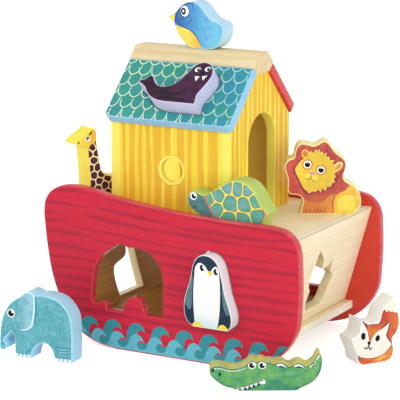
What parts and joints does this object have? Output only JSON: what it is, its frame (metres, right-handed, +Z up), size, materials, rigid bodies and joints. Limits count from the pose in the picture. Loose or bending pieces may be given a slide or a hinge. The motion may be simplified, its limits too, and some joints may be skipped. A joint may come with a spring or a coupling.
{
  "type": "toy ark",
  "caption": "Painted wooden toy ark with a slanted-end hull, a gabled house with a lift-off roof, and animal blocks that post through matching cut-outs.",
  "frame": {"origin": "on the floor, under the middle of the hull, half way between its two sides", "axes": "+X along the hull towards the low end, +Y to the back, +Z up"},
  "size_m": [0.3457, 0.2605, 0.3331],
  "materials": {
    "red_paint": "satin paint",
    "natural_wood": "satin varnish",
    "yellow_paint": "satin paint",
    "teal_paint": "satin paint",
    "roof_red_paint": "satin paint",
    "elephant_paint": "satin paint",
    "giraffe_paint": "satin paint",
    "penguin_paint": "satin paint",
    "lion_paint": "satin paint",
    "turtle_paint": "satin paint",
    "crocodile_paint": "satin paint",
    "fox_paint": "satin paint",
    "bird_paint": "satin paint",
    "walrus_paint": "satin paint"
  },
  "bodies": {
    "hull": {"hull_side_front": "red_paint", "hull_side_back": "red_paint", "hull_end_right": "natural_wood", "hull_end_left": "natural_wood", "hull_floor": "natural_wood", "deck": "natural_wood", "house_wall_front": "yellow_paint", "house_wall_back": "yellow_paint", "gable_right": "yellow_paint", "gable_left": "yellow_paint"},
    "roof": {"roof_panel_front": "teal_paint", "roof_panel_back": "roof_red_paint", "ridge_beam": "natural_wood"},
    "elephant": {"elephant": "elephant_paint"},
    "giraffe": {"giraffe": "giraffe_paint"},
    "penguin": {"penguin": "penguin_paint"},
    "lion": {"lion": "lion_paint"},
    "turtle": {"turtle": "turtle_paint"},
    "crocodile": {"crocodile": "crocodile_paint"},
    "fox": {"fox": "fox_paint"},
    "bird": {"bird": "bird_paint"},
    "walrus": {"walrus": "walrus_paint"}
  },
  "joints": [
    {"name": "roof_lift", "type": "slide", "parent": "hull", "child": "roof", "axis": [0, 0, 1], "range_m": [0, 0.15]},
    {"name": "elephant_lift", "type": "slide", "parent": "hull", "child": "elephant", "axis": [0, 0, 1], "range_m": [0, 0.1]},
    {"name": "crocodile_lift", "type": "slide", "parent": "hull", "child": "crocodile", "axis": [0, 0, 1], "range_m": [0, 0.1]},
    {"name": "fox_lift", "type": "slide", "parent": "hull", "child": "fox", "axis": [0, 0, 1], "range_m": [0, 0.1]},
    {"name": "giraffe_lift", "type": "slide", "parent": "hull", "child": "giraffe", "axis": [0, 0, 1], "range_m": [0, 0.06]},
    {"name": "lion_lift", "type": "slide", "parent": "hull", "child": "lion", "axis": [0, 0, 1], "range_m": [0, 0.1]},
    {"name": "turtle_lift", "type": "slide", "parent": "hull", "child": "turtle", "axis": [0, 0, 1], "range_m": [0, 0.035]},
    {"name": "penguin_post", "type": "slide", "parent": "hull", "child": "penguin", "axis": [0, -1, 0], "range_m": [-0.04, 0.06]},
    {"name": "walrus_post", "type": "slide", "parent": "roof", "child": "walrus", "axis": [0, -0.7071, 0.7071], "range_m": [-0.03, 0.06]},
    {"name": "bird_lift", "type": "slide", "parent": "roof", "child": "bird", "axis": [0, 0, 1], "range_m": [0, 0.1]}
  ]
}
